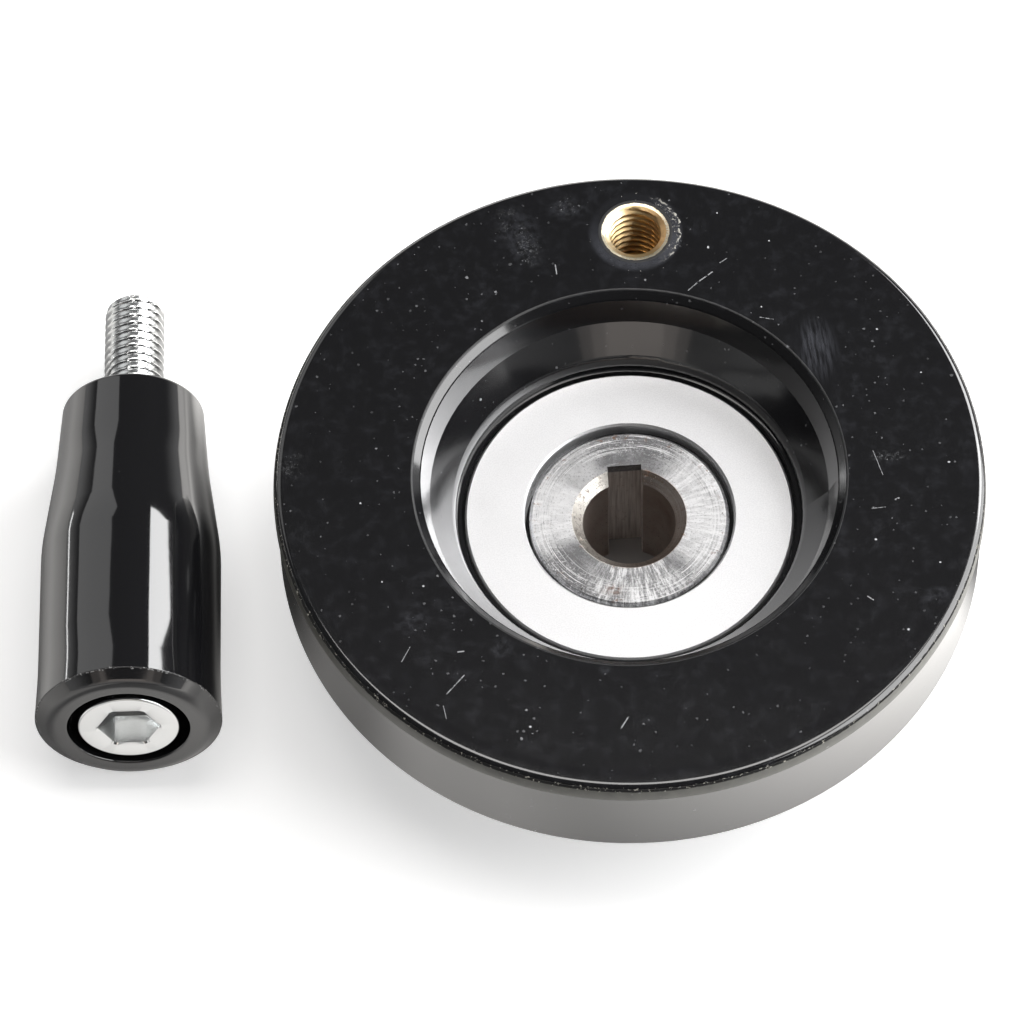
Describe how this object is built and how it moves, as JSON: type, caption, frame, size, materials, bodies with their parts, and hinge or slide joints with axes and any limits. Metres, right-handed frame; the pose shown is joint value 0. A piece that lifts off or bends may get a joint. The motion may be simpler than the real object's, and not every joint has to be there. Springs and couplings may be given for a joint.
{
  "type": "machine handwheel",
  "caption": "Black moulded machine handwheel with a dished face and keyed steel hub, its revolving grip and threaded spindle unscrewed and laid beside it.",
  "frame": {"origin": "on the shaft bore's axis, at the hub's rear face, which the wheel stands on", "axes": "+Z along the bore towards the wheel's front face; +Y towards the handle's socket; the unscrewed handle lies beside the wheel on the -X side"},
  "size_m": [0.1212, 0.09, 0.0302],
  "materials": {
    "phenolic_black": "glossy black moulded phenolic, dusty and lightly scratched",
    "grip_black": "polished black moulded phenolic",
    "turned_steel": "turned steel with circular marks, pits and a little rust",
    "satin_aluminium": "fine bead-blasted satin",
    "brass": "bright cut thread",
    "zinc_plated_steel": "bright zinc plating"
  },
  "bodies": {
    "wheel": {"wheel_body": "phenolic_black", "hub": "turned_steel", "face_ring": "satin_aluminium", "handle_insert": "brass", "handle_spindle": "zinc_plated_steel"},
    "grip": {"handle_grip": "grip_black"}
  },
  "joints": [
    {"name": "grip_spin", "type": "hinge", "parent": "wheel", "child": "grip", "pos_m": [-0.06451, -0.00313, 0.01178], "axis": [-0.0399, 0.9938, -0.1036], "continuous": true}
  ]
}
